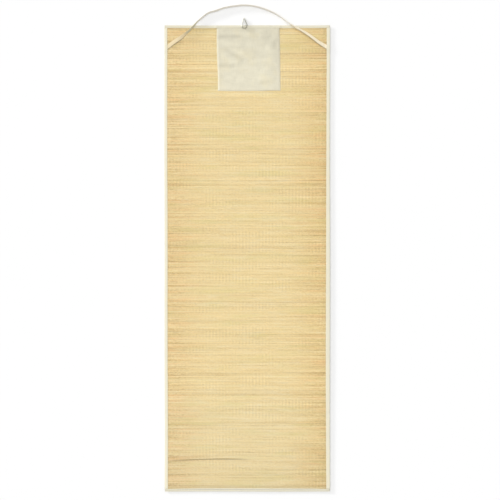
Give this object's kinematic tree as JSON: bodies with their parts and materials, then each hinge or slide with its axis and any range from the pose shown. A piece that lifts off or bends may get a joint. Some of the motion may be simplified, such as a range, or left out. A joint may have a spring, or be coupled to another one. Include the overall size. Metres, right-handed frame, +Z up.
{
  "type": "straw beach mat",
  "caption": "Long flat straw mat with cotton-bound edges, a square cotton patch at one end, a carry strap and a small closing loop, laid out flat.",
  "frame": {"origin": "middle of the mat's underside, on the surface it lies on", "axes": "+Z up out of the mat's upper side, +Y along the mat to the end with the strap and the patch, +X to the right seen from above"},
  "size_m": [0.6052, 1.7777, 0.0185],
  "materials": {
    "straw": "dry woven straw with cotton warp threads, low sheen",
    "binding": "plain cream cotton tape, folded and stitched",
    "patch": "plain natural cotton cloth, softly creased",
    "strap": "flat cream cotton tape"
  },
  "bodies": {
    "root": {"straw_panel": "straw", "binding_left": "binding", "binding_right": "binding", "binding_top": "binding", "binding_bottom": "binding", "patch": "patch", "carry_strap": "strap", "closing_loop": "strap"}
  },
  "joints": []
}
